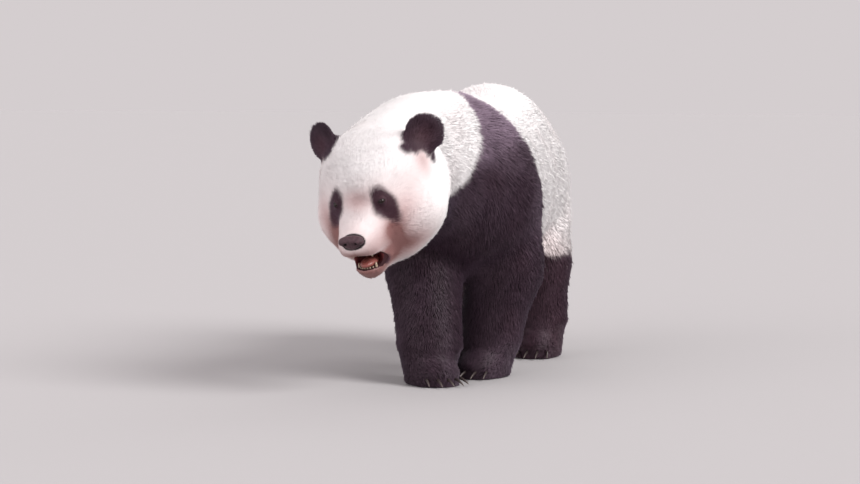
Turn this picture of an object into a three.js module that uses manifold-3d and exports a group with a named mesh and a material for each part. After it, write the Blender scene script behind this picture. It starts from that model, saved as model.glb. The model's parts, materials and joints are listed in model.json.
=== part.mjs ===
// A giant panda, life size, standing on all fours in mid stride with its head low and turned a little
// to its right. Millimetres, +Z up. It faces -Y and its left side is +X. Every surface is the outline
// of the coat, out to the tips of the fur.
//
// Fleshy parts are masses: ellipsoids and tapered limbs, melted into one another as distance fields.
// A mesh is then wrapped round each one from a spine inside it, and the body is parted with thin cuts.

import * as THREE from "three";
import { mergeVertices } from "three/addons/utils/BufferGeometryUtils.js";
import Module from "manifold-3d";

const wasm = await Module();
wasm.setup();

// ---- Driving dimensions, in mm, and angles, in degrees

const WITHERS = 760; // top of the shoulders above the floor
const RUMP_TOP = 778;
const BELLY_CLEARANCE = 245;
const CHEST_HALF_WIDTH = 206;
const BELLY_HALF_WIDTH = 228;
const HIP_HALF_WIDTH = 202;
const RUMP_BACK = 800; // furthest the rump reaches behind the shoulders
const TAIL_LENGTH = 125;

const HEAD_CENTRE = [-130, -400, 530];
const HEAD_YAW = -12.5; // to its right
const HEAD_PITCH = 18; // muzzle down
const HEAD_ROLL = -6; // left ear up
const CRANIUM_WIDTH = 290;
const CHEEK_WIDTH = 350;
const MUZZLE_REACH = 228; // nose end of the muzzle, ahead of the head's centre
const CHIN_DROP = 190; // chin below the head's centre, with the mouth a little open
const MOUTH_WIDTH = 98;
const MOUTH_LENGTH = 144;
const MOUTH_GAPE = 46;
const EYE_SPREAD = 61; // each eye from the middle of the face
const EYE_RADIUS = 11;
const EYE_PROUD = 3; // how far the eyeball stands out of the coat round it
const EAR_SPREAD = 143;
const EAR_RISE = 126;
const EAR_RADIUS = 58;
const EAR_THICKNESS = 40;
const EAR_TILT = 10; // tops of the ears back
const EAR_TURN = 28; // their bowls outwards
const NOSE_WIDTH = 72;
const CANINE_LENGTH = 17; // from its root in the gum

const PAW_WIDTH = 150;
const TOES = 5;
const TOE_FAN = 50; // of the outermost toes, each side of straight ahead
const CLAW_LENGTH = 36;
const CLAW_RADIUS = 5.5;
const CLAW_SPLAY = 0.4; // how far the claws fan out, against their toes

const CUT = 0.6; // width of the thin cuts between neighbours

// ---- Small tools

const vec = (x, y, z) => new THREE.Vector3(x, y, z);
const radians = THREE.MathUtils.degToRad;
const mix = THREE.MathUtils.lerp;
const SIDES_OF_BODY = { left: 1, right: -1 };

// Distance fields. Each is a function of a point: about how far outside the shape it is, negative inside.

function ellipsoid(centre, radii, turn = new THREE.Quaternion()) {
  const unturn = turn.clone().invert();
  const [rx, ry, rz] = radii;
  const p = vec(0, 0, 0);
  return (point) => {
    p.copy(point).sub(centre).applyQuaternion(unturn);
    const near = Math.hypot(p.x / rx, p.y / ry, p.z / rz);
    const slope = Math.hypot(p.x / rx ** 2, p.y / ry ** 2, p.z / rz ** 2);
    return slope > 0 ? (near * (near - 1)) / slope : -Math.min(rx, ry, rz);
  };
}

function limb(start, end, startRadius, endRadius) {
  const axis = end.clone().sub(start);
  const p = vec(0, 0, 0);
  return (point) => {
    p.copy(point).sub(start);
    const along = THREE.MathUtils.clamp(p.dot(axis) / axis.lengthSq(), 0, 1);
    return p.addScaledVector(axis, -along).length() - mix(startRadius, endRadius, along);
  };
}

// Shapes melted together, with fillets about as wide as softness.
function blend(softness, ...shapes) {
  return (point) =>
    shapes.map((shape) => shape(point)).reduce((a, b) => {
      const overlap = Math.max(softness - Math.abs(a - b), 0) / softness;
      return Math.min(a, b) - (overlap ** 2 * softness) / 4;
    });
}

// A field of a shape that is modelled in the space of a placed part.
function placedField(shape, matrix) {
  const inverse = matrix.clone().invert();
  const p = vec(0, 0, 0);
  return (point) => shape(p.copy(point).applyMatrix4(inverse));
}

// The point where a ray from inside a shape first leaves it, or the ray's end.
function leavingPoint(field, origin, direction, reach) {
  const STEP = 6;
  const at = (distance) => origin.clone().addScaledVector(direction, distance);
  let inside = 0;
  let outside = reach;
  for (let distance = STEP; distance < reach; distance += STEP) {
    if (field(at(distance)) > 0) {
      outside = distance;
      break;
    }
    inside = distance;
  }
  for (let halving = 0; halving < 14; halving++) {
    const middle = (inside + outside) / 2;
    if (field(at(middle)) > 0) outside = middle;
    else inside = middle;
  }
  return at(inside);
}

// A closed mesh round a shape. Rays leave the spine square to it in each band, and fan out round its
// start and its end. gap grows the shape by that much.
function wrap(field, spine, { bands, fans, sides, up = vec(0, 0, 1), gap = 0, reach = 450 }) {
  const curve = new THREE.CatmullRomCurve3(spine, false, "centripetal");
  const grown = (point) => field(point) - gap;
  const rows = [];
  const [startFan, endFan] = fans;
  for (let i = startFan; i >= 1; i--) rows.push({ along: 0, lean: (-90 * i) / (startFan + 1) });
  for (let i = 0; i <= bands; i++) rows.push({ along: i / bands, lean: 0 });
  for (let i = 1; i <= endFan; i++) rows.push({ along: 1, lean: (90 * i) / (endFan + 1) });

  const points = [];
  const ray = (along, lean, turn) => {
    const origin = curve.getPointAt(along);
    const forward = curve.getTangentAt(along);
    const across = vec(0, 0, 0).crossVectors(forward, up).normalize();
    const top = vec(0, 0, 0).crossVectors(across, forward);
    const direction = across
      .multiplyScalar(Math.cos(turn) * Math.cos(lean))
      .addScaledVector(top, Math.sin(turn) * Math.cos(lean))
      .addScaledVector(forward, Math.sin(lean));
    return leavingPoint(grown, origin, direction, reach);
  };
  points.push(ray(0, -Math.PI / 2, 0));
  for (const { along, lean } of rows) {
    for (let side = 0; side < sides; side++) {
      points.push(ray(along, radians(lean), (2 * Math.PI * side) / sides));
    }
  }
  points.push(ray(1, Math.PI / 2, 0));

  const corner = (row, side) => 1 + row * sides + (side % sides);
  const last = points.length - 1;
  const index = [];
  for (let side = 0; side < sides; side++) {
    index.push(0, corner(0, side), corner(0, side + 1));
    for (let row = 0; row + 1 < rows.length; row++) {
      const [a, b] = [corner(row, side), corner(row, side + 1)];
      const [c, d] = [corner(row + 1, side), corner(row + 1, side + 1)];
      index.push(a, c, b, b, c, d);
    }
    index.push(last, corner(rows.length - 1, side + 1), corner(rows.length - 1, side));
  }
  const geometry = new THREE.BufferGeometry().setFromPoints(points);
  geometry.setIndex(index);
  return solidOf(geometry);
}

// ---- Solids: closed meshes that manifold-3d can cut and join

function solidOf(geometry) {
  const bare = geometry.clone();
  for (const name of ["normal", "uv"]) bare.deleteAttribute(name);
  const merged = mergeVertices(bare, 1e-3);
  const mesh = new wasm.Mesh({
    numProp: 3,
    vertProperties: merged.attributes.position.array,
    triVerts: new Uint32Array(merged.index.array),
  });
  return new wasm.Manifold(mesh);
}

function geometryOf(solid) {
  const { numProp, numVert, vertProperties, triVerts } = solid.getMesh();
  const positions = new Float32Array(numVert * 3);
  for (let i = 0; i < numVert; i++) {
    positions.set(vertProperties.subarray(i * numProp, i * numProp + 3), i * 3);
  }
  const geometry = new THREE.BufferGeometry();
  geometry.setAttribute("position", new THREE.BufferAttribute(positions, 3));
  geometry.setIndex(new THREE.BufferAttribute(new Uint32Array(triVerts), 1));
  return geometry;
}

// The largest single piece of a solid: a cut can leave crumbs behind.
function mainPiece(solid) {
  return solid.decompose().sort((a, b) => b.volume() - a.volume())[0];
}

// A block as large as the animal on the side of a plane that its normal points to.
function beyond(point, normal, gap = 0) {
  const SIZE = 2000;
  const block = new THREE.BoxGeometry(SIZE, SIZE, SIZE).translate(0, 0, SIZE / 2 + gap);
  const turn = new THREE.Quaternion().setFromUnitVectors(vec(0, 0, 1), normal.clone().normalize());
  block.applyQuaternion(turn).translate(point.x, point.y, point.z);
  return solidOf(block);
}

// Parts a solid with a thin cut: [the piece behind the plane, the piece that its normal points to].
function parted(solid, point, normal) {
  return [
    solid.subtract(beyond(point, normal, -CUT / 2)),
    solid.intersect(beyond(point, normal, CUT / 2)),
  ];
}

// ---- Torso: hips, belly, chest, withers, shoulders, haunches and neck in one smooth mass

// The ellipsoids of a table of masses. A paired one is there on both sides.
const massesOf = (table) =>
  Object.values(table).flatMap(({ at: [x, y, z], radii, paired }) => {
    const sides = paired ? Object.values(SIDES_OF_BODY) : [1];
    return sides.map((side) => ellipsoid(vec(side * x, y, z), radii));
  });

const between = (top, bottom) => ({ middle: (top + bottom) / 2, radius: (top - bottom) / 2 });
const hips = between(RUMP_TOP, BELLY_CLEARANCE + 50);
const belly = between(RUMP_TOP - 40, BELLY_CLEARANCE);
const chest = between(WITHERS - 20, BELLY_CLEARANCE + 18);
const HIP_LENGTH = 218;
const TORSO_MASSES = {
  hips: { at: [0, RUMP_BACK - HIP_LENGTH, hips.middle], radii: [HIP_HALF_WIDTH, HIP_LENGTH, hips.radius] },
  belly: { at: [0, 315, belly.middle], radii: [BELLY_HALF_WIDTH, 380, belly.radius] },
  chest: { at: [0, 40, chest.middle], radii: [CHEST_HALF_WIDTH, 250, chest.radius] },
  withers: { at: [0, 0, WITHERS - 175], radii: [140, 170, 168] },
  shoulder: { at: [132, 15, 480], radii: [84, 135, 170], paired: true },
  haunch: { at: [134, 575, 450], radii: [90, 165, 165], paired: true },
};

const NECK_ROOT = vec(-82, -108, 579);
const NECK_END = vec(-118, -300, 558);
const NECK_RADII = [188, 166];
const MELT = 80; // how softly the large masses run together
const neckMass = limb(NECK_ROOT, NECK_END, ...NECK_RADII);
const torsoMass = blend(MELT, ...massesOf(TORSO_MASSES), neckMass);
const TORSO_SPINE = [vec(0, 610, 500), vec(0, 330, 490), vec(0, 60, 520), vec(-20, -110, 570), NECK_END];
const COLLAR = vec(-16, -150, 560); // where the neck leaves the trunk

// ---- Head, in its own space: it looks along -Y, +X is its left and +Z is up

const headMatrix = new THREE.Matrix4().compose(
  vec(...HEAD_CENTRE),
  new THREE.Quaternion().setFromEuler(
    new THREE.Euler(radians(HEAD_PITCH), radians(HEAD_ROLL), radians(HEAD_YAW), "ZXY"),
  ),
  vec(1, 1, 1),
);
const onHead = (point) => point.clone().applyMatrix4(headMatrix);
const lookingAlong = vec(0, -1, 0).transformDirection(headMatrix);
const NAPE = vec(0, 84, 4); // where the neck meets the head
const JAW_HINGE = vec(0, -114, -110);

const CHEEK_RADIUS = 96;
const SKULL_MASSES = {
  cranium: { at: [0, 18, 20], radii: [CRANIUM_WIDTH / 2, 146, 124] },
  brow: { at: [0, -64, 26], radii: [98, 80, 80] },
  temple: { at: [68, 10, 46], radii: [82, 100, 84], paired: true },
  cheek: { at: [CHEEK_WIDTH / 2 - CHEEK_RADIUS, -12, -52], radii: [CHEEK_RADIUS, 114, 93], paired: true },
};
const THROAT_RADIUS = 94;
const throatMass = ellipsoid(vec(0, -28, THROAT_RADIUS - CHIN_DROP), [112, 100, THROAT_RADIUS]);
const MUZZLE_MASSES = {
  snout: { at: [0, 58 - MUZZLE_REACH, -72], radii: [57, 58, 38] },
  lip: { at: [26, 52 - MUZZLE_REACH, -86], radii: [35, 48, 28], paired: true },
};
const bridgeMass = limb(vec(0, -100, -34), vec(0, 66 - MUZZLE_REACH, -66), 76, 44);
const muzzleMass = blend(24, bridgeMass, ...massesOf(MUZZLE_MASSES));
const JAW_RADII = [66, 44];
const chin = vec(0, 78 - MUZZLE_REACH, JAW_RADII[1] - CHIN_DROP);
const jawMass = limb(vec(0, -64, -110), chin, ...JAW_RADII);
const craniumMass = blend(60, blend(40, ...massesOf(SKULL_MASSES)), throatMass);
const faceMass = blend(36, craniumMass, blend(14, muzzleMass, jawMass));
const NAPE_MELT = 40;
const headMass = blend(NAPE_MELT, faceMass, placedField(neckMass, headMatrix.clone().invert()));
const HEAD_SPINE = [vec(0, 60, 0), vec(0, 0, -12), vec(0, -60, -44)];

// The mouth, a flat hollow that opens towards the front.
const MOUTH_CENTRE = vec(0, 42 - MUZZLE_REACH, -129);
const mouthTurn = new THREE.Quaternion().setFromAxisAngle(vec(1, 0, 0), radians(-4));
const mouthMass = ellipsoid(MOUTH_CENTRE, [MOUTH_WIDTH / 2, MOUTH_LENGTH / 2, MOUTH_GAPE / 2], mouthTurn);
const inMouth = (x, y, z) => vec(x, y, z).add(MOUTH_CENTRE);
const tongueMass = ellipsoid(inMouth(0, 38, -17), [22, 42, 12], mouthTurn);

const NOSE_CENTRE = vec(0, 3 - MUZZLE_REACH, -60);
const onNose = (x, y, z) => vec(x, y, z).add(NOSE_CENTRE);
const noseMass = blend(
  10,
  ellipsoid(onNose(0, 0, 2), [NOSE_WIDTH / 2, 17, 18]),
  ellipsoid(onNose(0, 3, -13), [NOSE_WIDTH / 3.4, 15, 17]),
);

// ---- Legs: each is a column of fur from the shoulder or hip down to the wrist, and a paw turned inwards

const LEGS = {
  front_right: {
    top: vec(-118, 4, 440),
    elbow: vec(-76, -50, 300),
    wrist: vec(-42, -165, 112),
    paw: vec(-32, -212, 0),
    pawTurn: 42,
    radii: [98, 98, 90],
  },
  front_left: {
    top: vec(132, 24, 440),
    elbow: vec(128, 46, 300),
    wrist: vec(91, 20, 112),
    paw: vec(83, -22, 0),
    pawTurn: -26,
    radii: [96, 99, 89],
  },
  hind_right: {
    top: vec(-138, 590, 420),
    elbow: vec(-148, 585, 280),
    wrist: vec(-152, 650, 116),
    paw: vec(-144, 612, 0),
    pawTurn: 12,
    radii: [104, 94, 80],
  },
  hind_left: {
    top: vec(138, 560, 420),
    elbow: vec(148, 500, 280),
    wrist: vec(162, 512, 116),
    paw: vec(160, 470, 0),
    pawTurn: -12,
    radii: [104, 94, 80],
  },
};

const legMass = ({ top, elbow, wrist, radii: [topRadius, elbowRadius, wristRadius] }) =>
  blend(50, limb(top, elbow, topRadius, elbowRadius), limb(elbow, wrist, elbowRadius, wristRadius));

// A paw in its own space: the sole is at z = 0 and the toes point along -Y.
const heading = (degrees) => vec(Math.sin(radians(degrees)), -Math.cos(radians(degrees)), 0);
const toeAngle = (toe) => mix(-TOE_FAN, TOE_FAN, toe / (TOES - 1));
const toeCentre = (toe) => heading(toeAngle(toe)).multiply(vec(56, 66, 0)).add(vec(0, -2, 27));
const pawMass = blend(
  14,
  ellipsoid(vec(0, 4, 36), [PAW_WIDTH / 2 - 5, 82, 52]),
  ...Array.from({ length: TOES }, (_, toe) => ellipsoid(toeCentre(toe), [21, 31, 29])),
);
const pawMatrix = ({ paw, pawTurn }) =>
  new THREE.Matrix4().makeRotationZ(radians(pawTurn)).setPosition(paw);
const LEG_MELT = 30; // how softly a leg runs into its paw

// ---- The nodes. Each maker returns solids by name.

function makeTorso() {
  const shape = blend(NAPE_MELT, torsoMass, placedField(faceMass, headMatrix));
  const whole = (gap) => wrap(shape, TORSO_SPINE, { bands: 19, fans: [6, 2], sides: 24, gap });
  const alongNeck = NECK_END.clone().sub(NECK_ROOT).setZ(40);
  const [trunk, front] = parted(whole(0), COLLAR, alongNeck);
  const [neck] = parted(front, onHead(NAPE), lookingAlong);
  return { trunk, neck, grown: whole(CUT).add(whole(0)) };
}

const placeOnHead = (solid) => solid.transform(headMatrix.elements);

function headSolid(gap) {
  const whole = wrap(headMass, HEAD_SPINE, { bands: 4, fans: [1, 12], sides: 28, reach: 300, gap });
  return parted(placeOnHead(whole), onHead(NAPE), lookingAlong)[1];
}

function mouthSolid(gap) {
  const spine = [inMouth(0, 32, 10), inMouth(0, -32, -10)];
  return placeOnHead(wrap(mouthMass, spine, { bands: 2, fans: [2, 2], sides: 14, gap }));
}

// The place in front of the jaw's hinge and under the middle of the mouth.
function jawZone(gap) {
  const down = vec(0, 0, -1).applyQuaternion(mouthTurn).transformDirection(headMatrix);
  const underLips = beyond(onHead(MOUTH_CENTRE), down, gap);
  return underLips.intersect(beyond(onHead(JAW_HINGE), lookingAlong, gap));
}

// The eyeball sits in the coat's surface, along a ray from inside the skull.
function eyeSolid(side, gap) {
  const origin = vec(side * EYE_SPREAD * 0.6, -20, 8);
  const sight = vec(side * EYE_SPREAD * 0.4, -110, 2).normalize();
  const lid = leavingPoint(faceMass, origin, sight, 300);
  const centre = onHead(lid.addScaledVector(sight, EYE_PROUD - EYE_RADIUS));
  const ball = new THREE.SphereGeometry(EYE_RADIUS + gap, 12, 8);
  return solidOf(ball.translate(centre.x, centre.y, centre.z));
}

// A round thick ear, hollowed in front, facing ahead and a little outwards.
function earSolid(side) {
  const matrix = new THREE.Matrix4()
    .makeRotationFromEuler(new THREE.Euler(radians(-EAR_TILT), 0, radians(side * EAR_TURN), "ZYX"))
    .setPosition(side * EAR_SPREAD, 28, EAR_RISE);
  const mass = ellipsoid(vec(0, 0, 0), [EAR_RADIUS, EAR_THICKNESS / 2, EAR_RADIUS]);
  const bowl = new THREE.SphereGeometry(EAR_RADIUS, 12, 9).translate(0, -EAR_RADIUS - 4, 6);
  const disc = wrap(mass, [vec(0, 5, 0), vec(0, -5, 0)], { bands: 1, fans: [3, 3], sides: 14 });
  return placeOnHead(disc.subtract(solidOf(bowl)).transform(matrix.elements));
}

// A canine that stands into the mouth from its lower or its upper side.
function canineSolid(side, isLower) {
  const up = isLower ? 1 : -1;
  const root = inMouth(side * 28, isLower ? 14 : 0, (up * -MOUTH_GAPE) / 2);
  const tip = root.clone().add(vec(-side, 2, up * CANINE_LENGTH));
  const shape = { bands: 1, fans: [0, 0], sides: 5, up: vec(0, 1, 0), reach: 20 };
  return placeOnHead(wrap(limb(root, tip, 5, 1.4), [root, tip], shape)).intersect(mouthSolid(-CUT));
}

function noseSolid() {
  const spine = [onNose(0, 6, -4), onNose(0, -3, -4)];
  const pad = wrap(noseMass, spine, { bands: 1, fans: [2, 2], sides: 14, reach: 60 });
  const nostrils = Object.values(SIDES_OF_BODY).map((side) => {
    const ends = [onNose(side * 13, 2, -4), onNose(side * 22, -24, -2)];
    return wrap(limb(...ends, 4.5, 7), ends, { bands: 1, fans: [0, 0], sides: 6 });
  });
  return placeOnHead(nostrils.reduce((nose, nostril) => nose.subtract(nostril), pad));
}

function makeHead() {
  const grown = headSolid(CUT);
  const hollowed = headSolid(0).subtract(mouthSolid(0));
  const nodes = {
    head: hollowed.subtract(jawZone(-CUT / 2)),
    lower_jaw: hollowed.intersect(jawZone(CUT / 2)),
    nose: noseSolid().subtract(grown),
    tongue: placeOnHead(
      wrap(tongueMass, [inMouth(0, 54, -17), inMouth(0, 20, -17)], { bands: 1, fans: [2, 2], sides: 12 }),
    ).intersect(mouthSolid(-CUT)),
  };
  for (const [name, side] of Object.entries(SIDES_OF_BODY)) {
    nodes.head = nodes.head.subtract(eyeSolid(side, CUT));
    nodes[`eye_${name}`] = eyeSolid(side, 0);
    nodes[`ear_${name}`] = earSolid(side).subtract(grown);
    nodes[`canine_lower_${name}`] = canineSolid(side, true);
    nodes[`canine_upper_${name}`] = canineSolid(side, false);
  }
  return nodes;
}

function makeLeg(name, leg, torsoGrown) {
  const { top, elbow, wrist } = leg;
  const placed = pawMatrix(leg);
  const unplaced = placed.clone().invert();
  const upright = { up: vec(0, 1, 0), fans: [2, 2] };

  const column = [vec(0, 0, 40).add(top), elbow, wrist, wrist.clone().setZ(50)];
  const legShape = blend(LEG_MELT, legMass(leg), placedField(pawMass, placed));
  const whole = wrap(legShape, column, { ...upright, bands: 9, sides: 16, reach: 160 });
  const [upper, shank] = parted(whole, elbow, wrist.clone().sub(elbow));
  const [lower] = parted(shank, wrist, vec(0, 0, -1));

  const pawShape = blend(LEG_MELT, pawMass, placedField(legMass(leg), unplaced));
  const heel = wrist.clone().applyMatrix4(unplaced);
  const pawSpine = [vec(0, -6, 26), vec(0, -2, 46), vec(heel.x / 2, heel.y / 2, 84), heel];
  const pawSolid = (gap) => {
    const shape = wrap(pawShape, pawSpine, { ...upright, bands: 3, sides: 24, reach: 120, gap });
    return shape.transform(placed.elements);
  };
  const aboveFloor = pawSolid(0).intersect(beyond(vec(0, 0, 0), vec(0, 0, 1)));
  const nodes = {
    [`${name}_upper_leg`]: upper.subtract(torsoGrown),
    [`${name}_lower_leg`]: lower.subtract(torsoGrown),
    [`${name}_paw`]: parted(aboveFloor, wrist, vec(0, 0, 1))[0],
  };
  for (let toe = 0; toe < TOES; toe++) {
    const claw = clawSolid(toe).transform(placed.elements);
    nodes[`${name}_claw_${toe + 1}`] = claw.subtract(pawSolid(CUT));
  }
  return nodes;
}

// A claw leaves its toe level and bends down to just above the floor.
function clawSolid(toe) {
  const direction = heading(toeAngle(toe) * CLAW_SPLAY);
  const base = toeCentre(toe).addScaledVector(direction, 14).setZ(22);
  const bend = base.clone().addScaledVector(direction, CLAW_LENGTH * 0.6);
  const tip = base.clone().addScaledVector(direction, CLAW_LENGTH * 1.05).setZ(CLAW_RADIUS + 1);
  const bendRadius = CLAW_RADIUS * 0.8;
  const mass = blend(4, limb(base, bend, CLAW_RADIUS, bendRadius), limb(bend, tip, bendRadius, 1.2));
  return wrap(mass, [base, bend, tip], { bands: 2, fans: [0, 0], sides: 5 });
}

function makeTail(torsoGrown) {
  const root = vec(0, RUMP_BACK - 44, 590);
  const tip = vec(0, RUMP_BACK - 10, root.z - TAIL_LENGTH);
  const shape = { bands: 3, fans: [1, 1], sides: 12, up: vec(0, 1, 0) };
  return { tail: wrap(limb(root, tip, 50, 34), [root, tip], shape).subtract(torsoGrown) };
}

// ---- Assembly

const FINISHES = {
  white_coat: { color: 0xf2eee6, roughness: 0.9 },
  black_coat: { color: 0x1a1618, roughness: 0.85 },
  nose: { color: 0x151214, roughness: 0.5 },
  claw: { color: 0x4b4038, roughness: 0.5 },
  eye: { color: 0x120c09, roughness: 0.08 },
  tooth: { color: 0xe8ddc4, roughness: 0.35 },
  tongue: { color: 0xb5606a, roughness: 0.45 },
};
const FINISH_BY_NAME = [
  [/claw/, "claw"],
  [/canine/, "tooth"],
  [/^eye/, "eye"],
  [/leg|paw|^ear/, "black_coat"],
  [/^nose|^tongue/, null], // a finish of the node's own name
];
function finishOf(name) {
  const [, finish] = FINISH_BY_NAME.find(([pattern]) => pattern.test(name)) ?? [null, "white_coat"];
  return FINISHES[finish ?? name];
}

const { trunk, neck, grown } = makeTorso();
const solids = { trunk, neck, ...makeHead(), ...makeTail(grown) };
for (const [name, leg] of Object.entries(LEGS)) Object.assign(solids, makeLeg(name, leg, grown));

const panda = new THREE.Group();
for (const [name, solid] of Object.entries(solids)) {
  const material = new THREE.MeshStandardMaterial(finishOf(name));
  const mesh = new THREE.Mesh(geometryOf(mainPiece(solid)), material);
  mesh.name = name;
  panda.add(mesh);
}

// The origin is on the floor, under the middle of the animal's box.
const box = new THREE.Box3().setFromObject(panda);
const middle = box.getCenter(vec(0, 0, 0));
panda.position.set(-middle.x, -middle.y, -box.min.z);

export default panda;
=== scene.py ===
"""A giant panda, life size, in mid stride: its skin, coat, face, teeth and claws.

Metres in the part's frame: +Z up, the animal faces -Y and its left is +X. One skin is made from the
CAD's solids of flesh, drawn in by the depth of the coat, and tufts of solid mesh grow on it.
"""
import json
import math
from collections import namedtuple

import bmesh
import bpy
import numpy as np
from mathutils import Matrix, Vector
from mathutils.bvhtree import BVHTree


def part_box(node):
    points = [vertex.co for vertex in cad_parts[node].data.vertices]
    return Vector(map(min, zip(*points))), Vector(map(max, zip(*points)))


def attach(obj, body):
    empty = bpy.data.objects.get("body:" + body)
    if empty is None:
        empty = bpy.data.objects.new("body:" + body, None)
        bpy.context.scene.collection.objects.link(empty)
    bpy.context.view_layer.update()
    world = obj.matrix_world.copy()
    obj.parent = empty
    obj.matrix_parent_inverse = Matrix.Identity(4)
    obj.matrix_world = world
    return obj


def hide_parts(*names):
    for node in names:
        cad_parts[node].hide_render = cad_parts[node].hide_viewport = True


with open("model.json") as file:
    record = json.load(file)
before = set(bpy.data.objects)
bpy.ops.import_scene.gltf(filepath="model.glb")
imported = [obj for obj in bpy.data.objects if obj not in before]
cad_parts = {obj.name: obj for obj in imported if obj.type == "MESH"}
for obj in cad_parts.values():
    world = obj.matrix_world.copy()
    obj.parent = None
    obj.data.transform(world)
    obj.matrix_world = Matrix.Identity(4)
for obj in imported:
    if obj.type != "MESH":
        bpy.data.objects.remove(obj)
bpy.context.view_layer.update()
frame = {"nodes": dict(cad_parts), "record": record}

MM = 0.001
SIDES = {"left": 1, "right": -1}
LEGS = ("front_right", "front_left", "hind_right", "hind_left")
rng = np.random.default_rng(11)
WAVES = 5  # that make up the smooth noise


# ---- Small tools for arrays of points

def norm(vectors):
    return np.linalg.norm(vectors, axis=-1)


def unit(vectors):
    return vectors / np.maximum(norm(vectors)[..., None], 1e-12)


def dot(a, b):
    return (a * b).sum(-1, keepdims=True)


def mix(a, b, share):
    return a + (b - a) * share


def smoothstep(low, high, x):
    t = np.clip((x - low) / (high - low), 0, 1)
    return t * t * (3 - 2 * t)


def blob(points, centre, size):
    """1 at the centre, falling off to about 0 at twice the size away."""
    gap = (points - np.array(centre)) / np.array(size)
    return np.exp(-(gap ** 2).sum(-1))


def waves(points, length, seed):
    """Smooth noise of about -1 to 1 that repeats about every length, in metres."""
    source = np.random.default_rng(seed)
    directions = unit(source.normal(size=(WAVES, 3))) * (2 * math.pi / length)
    directions *= source.uniform(0.7, 1.4, (WAVES, 1))
    phases = points @ directions.T + source.uniform(0, 6.28, WAVES)
    return np.sin(phases).sum(-1) / math.sqrt(WAVES)


def box_middle(node):
    low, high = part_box(node)
    return np.array((low + high) / 2)


# ---- The head's own space, in mm: it looks along -Y, +X is its left and +Z is up. Points in this
# space are called here

HEAD_PITCH = math.radians(18)  # muzzle down
HEAD_ROLL = math.radians(-6)  # left ear up
HEAD_YAW = math.radians(-12.5)  # to its right
HEAD_AXES = np.array(
    Matrix.Rotation(HEAD_YAW, 3, "Z")
    @ Matrix.Rotation(HEAD_PITCH, 3, "X")
    @ Matrix.Rotation(HEAD_ROLL, 3, "Y")
)
LEFT_EYE_AT = np.array([60.9, -129.4, 10.0])
BETWEEN_EYES = (box_middle("eye_left") + box_middle("eye_right")) / 2  # in metres
HEAD_CENTRE = BETWEEN_EYES - HEAD_AXES @ (LEFT_EYE_AT * (0, 1, 1)) * MM
EYE_RADIUS = 11
NOSE_AT = np.array([0, -225, -60])
MOUTH_AT = np.array([0, -186, -129])
MOUTH_RADII = np.array([49, 72, 23])


def in_head(points):
    return (points - HEAD_CENTRE) @ HEAD_AXES / MM


def from_head(points):
    return HEAD_CENTRE + np.asarray(points) @ HEAD_AXES.T * MM


def on_left(here):
    """The points, with those of the right side mirrored to the left, as both are alike."""
    return here * np.where(here[:, :1] < 0, (-1, 1, 1), 1)


def to_nearer_eye(here):
    """How far each point is from the middle of the nearer eyeball, in mm."""
    return norm(on_left(here) - LEFT_EYE_AT)


def beside_mouth(here):
    """About how far outside the hollow of the mouth each point is, in mm."""
    offset = here - MOUTH_AT
    near = norm(offset / MOUTH_RADII)
    slope = norm(offset / MOUTH_RADII ** 2)
    return near * (near - 1) / np.maximum(slope, 1e-9)


# ---- Meshes as arrays

def read(collection, field, width, kind=float):
    flat = np.empty(len(collection) * width, np.float32 if kind is float else np.int32)
    collection.foreach_get(field, flat)
    return flat.astype(kind).reshape(-1, width)


def points_of(mesh):
    return read(mesh.vertices, "co", 3)


def move_points(mesh, points):
    mesh.vertices.foreach_set("co", points.astype(np.float32).ravel())
    mesh.update()


def normals_of(mesh):
    return read(mesh.vertex_normals, "vector", 3)


def spread(values, edges, rounds, strength=1.0):
    """Draws each vertex's value towards its neighbours' mean, round after round."""
    flat = values.reshape(len(values), -1).astype(float)
    ends = np.concatenate([edges, edges[:, ::-1]])
    neighbours = np.bincount(ends[:, 0], minlength=len(flat))[:, None]
    strength = 0.5 * np.broadcast_to(np.asarray(strength, float).reshape(-1, 1), (len(flat), 1))
    for _ in range(rounds):
        total = [np.bincount(ends[:, 0], column[ends[:, 1]], len(flat)) for column in flat.T]
        flat = flat + strength * (np.stack(total, 1) / neighbours - flat)
    return flat.reshape(values.shape)


def write_fields(mesh, **fields):
    """Gives each vertex a number or a vector of each name."""
    for name, values in fields.items():
        kind, field = ("FLOAT", "value") if values.ndim == 1 else ("FLOAT_VECTOR", "vector")
        layer = mesh.attributes.new(name, kind, "POINT")
        layer.data.foreach_set(field, values.astype(np.float32).ravel())


def new_piece(name, data):
    piece = bpy.data.objects.new(name, data)
    bpy.context.scene.collection.objects.link(piece)
    return piece


def mesh_from(name, points, corners, sides):
    """A mesh whose faces all have the same number of sides, quickly."""
    mesh = bpy.data.meshes.new(name)
    mesh.vertices.add(len(points))
    move_points(mesh, points)
    mesh.loops.add(corners.size)
    mesh.loops.foreach_set("vertex_index", corners.astype(np.int32).ravel())
    mesh.polygons.add(corners.size // sides)
    mesh.polygons.foreach_set("loop_start", np.arange(0, corners.size, sides, dtype=np.int32))
    mesh.update(calc_edges=True)
    return mesh


def remeshed(mesh, voxel):
    """One closed skin round a mesh of closed pieces."""
    rough = new_piece("rough", mesh)
    wrap = rough.modifiers.new("wrap", "REMESH")
    wrap.mode = "VOXEL"
    wrap.voxel_size = voxel
    wrap.use_smooth_shade = True
    seen = rough.evaluated_get(bpy.context.evaluated_depsgraph_get())
    skin = bpy.data.meshes.new_from_object(seen)
    bpy.data.objects.remove(rough)
    return skin


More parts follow.
